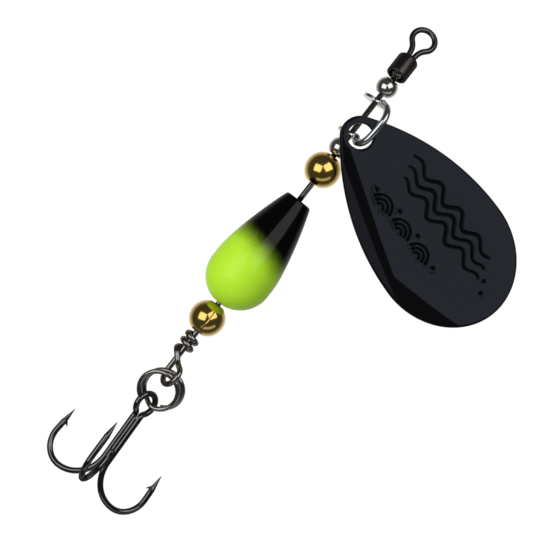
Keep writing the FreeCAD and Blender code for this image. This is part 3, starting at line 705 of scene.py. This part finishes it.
class StampedPattern:
    """How the stamp has pressed at a place, from the nearest stroke."""

    def __init__(self, strokes):
        self.near = {}
        for points in strokes:
            for x, y, half in points:
                key = (int(x // PATTERN_CELL), int(y // PATTERN_CELL))
                self.near.setdefault(key, []).append((x, y, half))

    def sink(self, x, y):
        """Height over the sheet, with a faint raised lip beside each groove, and how far in the groove."""
        best = math.inf
        column, row = int(x // PATTERN_CELL), int(y // PATTERN_CELL)
        for i in (column - 1, column, column + 1):
            for j in (row - 1, row, row + 1):
                for px, py, half in self.near.get((i, j), ()):
                    best = min(best, math.hypot(px - x, py - y) / half)
        if best >= PATTERN_REACH:
            return 0.0, 0.0
        groove = math.exp(-(best / 0.75) ** 4)
        lip = LIP_SHARE * math.exp(-((best - 1.35) / 0.35) ** 2)
        return GROOVE_DEPTH * (lip - groove), groove


def make_leaf():
    """Top and underside of the leaf on one flat net that follows its edge and its hole."""
    edge = leaf_edge()
    hole_edge = [(BLADE_HOLE_R * math.cos(2 * math.pi * i / HOLE_STEPS),
                  BLADE_HOLE_R * math.sin(2 * math.pi * i / HOLE_STEPS)) for i in range(HOLE_STEPS)]
    # each outline again a little further in, where the rounded rim bends, with its distance from the edge
    rings = [edge, hole_edge]
    depths = [0.0, 0.0]
    for share in (0.06, 0.22, 0.5, 1.0):
        distance = BLADE_RIM_R * share
        rings.append(inset(edge, distance))
        depths.append(distance)
        grow = 1 + distance / BLADE_HOLE_R
        rings.append([(x * grow, y * grow) for x, y in hole_edge])
        depths.append(distance)
    inner = inset(edge, BLADE_RIM_R + 0.5 * BLADE_GRID)
    points, edges, depth_of = [], [], []
    for ring, depth in zip(rings, depths):
        first = len(points)
        points += ring
        depth_of += [depth] * len(ring)
        edges += [(first + i, first + (i + 1) % len(ring)) for i in range(len(ring))]
    # an even net of points inside the inner outline and outside the hole
    spans = {}
    for (x0, y0), (x1, y1) in zip(inner, inner[1:] + inner[:1]):
        if y0 >= 0 and y1 >= 0:
            spans[x0] = y0
    stations = sorted(spans)

    def half_width(x):
        """The inner outline's half width at a station, between its points."""
        low_station = [s for s in stations if s <= x]
        high_station = [s for s in stations if s > x]
        if not low_station or not high_station:
            return 0.0
        a, b = low_station[-1], high_station[0]
        return spans[a] + (spans[b] - spans[a]) * (x - a) / (b - a)

    row = 0
    x = stations[0] + 0.5 * BLADE_GRID
    clear_hole = BLADE_HOLE_R + BLADE_RIM_R + 0.5 * BLADE_GRID
    while x < stations[-1]:
        reach = half_width(x)
        columns = int(reach / BLADE_GRID)
        for j in range(-columns, columns + 1):
            y = (j + 0.5 * (row % 2)) * BLADE_GRID
            if abs(y) < reach and math.hypot(x, y) > clear_hole:
                points.append((x, y))
                depth_of.append(BLADE_RIM_R)
        x += BLADE_GRID * 0.866
        row += 1
    result = geometry.delaunay_2d_cdt([Vector(p) for p in points], edges, [], 0, 1e-5)
    flat_points, _, triangles, origins = result[0], result[1], result[2], result[3]
    flat_depth = [depth_of[o[0]] if o else BLADE_RIM_R for o in origins]
    pattern = StampedPattern(ripple_lines())
    base = dome_height(0, 0)
    placed = Matrix((blade_along, blade_across, blade_normal)).transposed()
    slope_step = 0.01

    def lifted(x, y, offset):
        """A place on the dome, moved out along the sheet's own normal."""
        height = dome_height(x, y)
        slope = Vector((dome_height(x + slope_step, y) - height, dome_height(x, y + slope_step) - height,
                        0)) / slope_step
        normal = Vector((-slope.x, -slope.y, 1)).normalized()
        return blade_hole + placed @ ((Vector((x, y, height - base)) + normal * offset) * MM)

    def kept(triangle):
        """Whether a triangle is inside the leaf's edge and outside its hole."""
        cx = sum(flat_points[i].x for i in triangle) / 3
        cy = sum(flat_points[i].y for i in triangle) / 3
        if math.hypot(cx, cy) < BLADE_HOLE_R * 0.999:
            return False
        return not all(flat_depth[i] == 0.0 and math.hypot(*flat_points[i]) > BLADE_HOLE_R + 0.1
                       for i in triangle)

    shape = bmesh.new()
    groove_layer = shape.verts.layers.float.new("groove")
    top, under = [], []
    half = BLADE_THICKNESS / 2
    for point, depth in zip(flat_points, flat_depth):
        drop = BLADE_RIM_R - math.sqrt(max(0.0, BLADE_RIM_R ** 2 - (BLADE_RIM_R - depth) ** 2))
        sink, groove = pattern.sink(point.x, point.y) if depth == BLADE_RIM_R else (0.0, 0.0)
        top.append(shape.verts.new(lifted(point.x, point.y, half - drop + sink)))
        top[-1][groove_layer] = groove
        under.append(shape.verts.new(lifted(point.x, point.y, -half + drop + 0.7 * sink)))
    for triangle in triangles:
        if kept(triangle):
            shape.faces.new([top[i] for i in triangle])
            shape.faces.new([under[i] for i in reversed(triangle)])
    rims = [e for e in shape.edges if len(e.link_faces) == 1]
    bmesh.ops.bridge_loops(shape, edges=rims)
    loose = [v for v in shape.verts if not v.link_faces]
    bmesh.ops.delete(shape, geom=loose, context="VERTS")
    bmesh.ops.recalc_face_normals(shape, faces=shape.faces)
    for face in shape.faces:
        face.smooth = True
    mesh = bpy.data.meshes.new("stamped_leaf")
    shape.to_mesh(mesh)
    shape.free()
    leaf = bpy.data.objects.new("stamped_leaf", mesh)
    scene.collection.objects.link(leaf)
    return leaf


leaf = make_leaf()
black_lacquer, tree, shader = new_material("gloss_black_lacquer")
shader.inputs["Base Color"].default_value = (0.0018, 0.0018, 0.0020, 1)
shader.inputs["Roughness"].default_value = 0.5
shader.inputs["Specular IOR Level"].default_value = 0.0
shader.inputs["Coat Roughness"].default_value = 0.025
# the lacquer's gloss is weaker in the grooves
pressed = tree.nodes.new("ShaderNodeAttribute")
pressed.attribute_name = "groove"
thin = add_node(tree, "ShaderNodeMapRange", Value=pressed.outputs["Fac"], From_Min=0.0, From_Max=0.9,
                To_Min=1.0, To_Max=0.12)
tree.links.new(thin.outputs["Result"], shader.inputs["Coat Weight"])
leaf.data.materials.append(black_lacquer)
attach(leaf, "blade")
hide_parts("spinner_blade")

# Two grey-blue cards overhead are all that the blade mirrors, with a dark gap between them. Each card's
# reach down and over the blade is a share of its height.
CARD_TURN = math.radians(50)
CARD_HEIGHT = 0.6
card_angle = BLADE_YAW + math.radians(SHAFT_LEAN) - CARD_TURN
down_blade = view_right * math.cos(card_angle) + view_up * math.sin(card_angle)
over_blade = Vector((-down_blade.y, down_blade.x, 0))
blade_only = bpy.data.collections.new("lit_by_cards")
blade_only.objects.link(leaf)
for name, down, over, glow in (("wide_card", (-2.30, 1.12), (-0.02, 3.2), 0.56),
                               ("side_card", (-0.30, 1.75), (-1.00, -0.12), 0.30)):
    data = bpy.data.lights.new(name, "AREA")
    data.shape = "RECTANGLE"
    data.size, data.size_y = CARD_HEIGHT * (down[1] - down[0]), CARD_HEIGHT * (over[1] - over[0])
    data.energy = glow * math.pi * data.size * data.size_y
    data.color = (0.68, 0.77, 1.0)
    card = bpy.data.objects.new(name, data)
    scene.collection.objects.link(card)
    card.location = (down_blade * (CARD_HEIGHT * sum(down) / 2) + over_blade * (CARD_HEIGHT * sum(over) / 2)
                     + Vector((0, 0, CARD_HEIGHT)))
    card.rotation_euler = (0, 0, math.atan2(down_blade.y, down_blade.x))
    card.light_linking.receiver_collection = blade_only
all_but_blade = bpy.data.collections.new("lit_by_soft_boxes")
all_but_blade.objects.link(leaf)
all_but_blade.collection_objects[0].light_linking.link_state = "EXCLUDE"
for soft_box in soft_boxes:
    soft_box.light_linking.receiver_collection = all_but_blade
